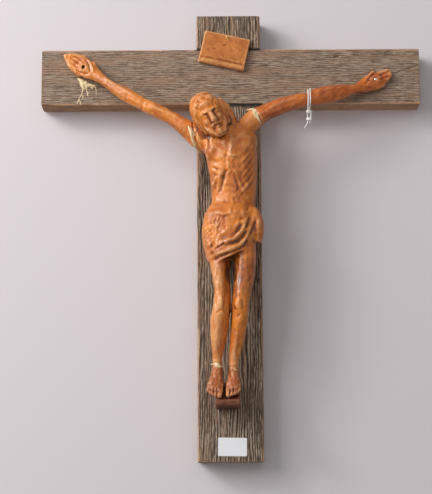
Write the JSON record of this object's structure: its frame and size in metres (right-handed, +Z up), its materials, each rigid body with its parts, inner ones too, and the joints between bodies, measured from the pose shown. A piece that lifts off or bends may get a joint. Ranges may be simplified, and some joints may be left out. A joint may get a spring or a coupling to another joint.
{
  "type": "crucifix",
  "caption": "Wooden wall crucifix: weathered lapped boards with a carved, varnished figure in a loincloth, a foot block and a small plate that turns on its nail.",
  "frame": {"origin": "middle of the hanging hole's mouth, in the boards' rear face at the crossing", "axes": "+Z up along the upright, +Y towards the wall, -X towards the figure's right hand"},
  "size_m": [0.4759, 0.1039, 0.56],
  "materials": {
    "weathered_oak": "weathered, unfinished",
    "varnished_carving": "satin varnish",
    "stained_block": "satin varnish",
    "plaque_wood": "satin varnish",
    "dowel_wood": "unfinished",
    "nail_brass": "polished",
    "nail_steel": "polished",
    "screw_steel": "zinc plated",
    "label_paper": "matt",
    "string_cotton": "matt"
  },
  "bodies": {
    "cross": {"upright_beam": "weathered_oak", "crossbeam": "weathered_oak", "lap_screws": "screw_steel", "corpus": "varnished_carving", "right_arm": "varnished_carving", "left_arm": "varnished_carving", "right_shoulder_dowel": "dowel_wood", "left_shoulder_dowel": "dowel_wood", "right_foot": "varnished_carving", "left_foot": "varnished_carving", "foot_block": "stained_block", "corpus_screw": "screw_steel", "foot_block_screw": "screw_steel", "left_hand_nail": "nail_steel", "titulus_nail": "nail_brass", "lot_label": "label_paper", "tag_string": "string_cotton"},
    "plaque": {"titulus_plaque": "plaque_wood"}
  },
  "joints": [
    {"name": "plaque_turn", "type": "hinge", "parent": "cross", "child": "plaque", "pos_m": [-0.0011, -0.0345, 0.0506], "axis": [0, 1, 0], "continuous": true}
  ]
}
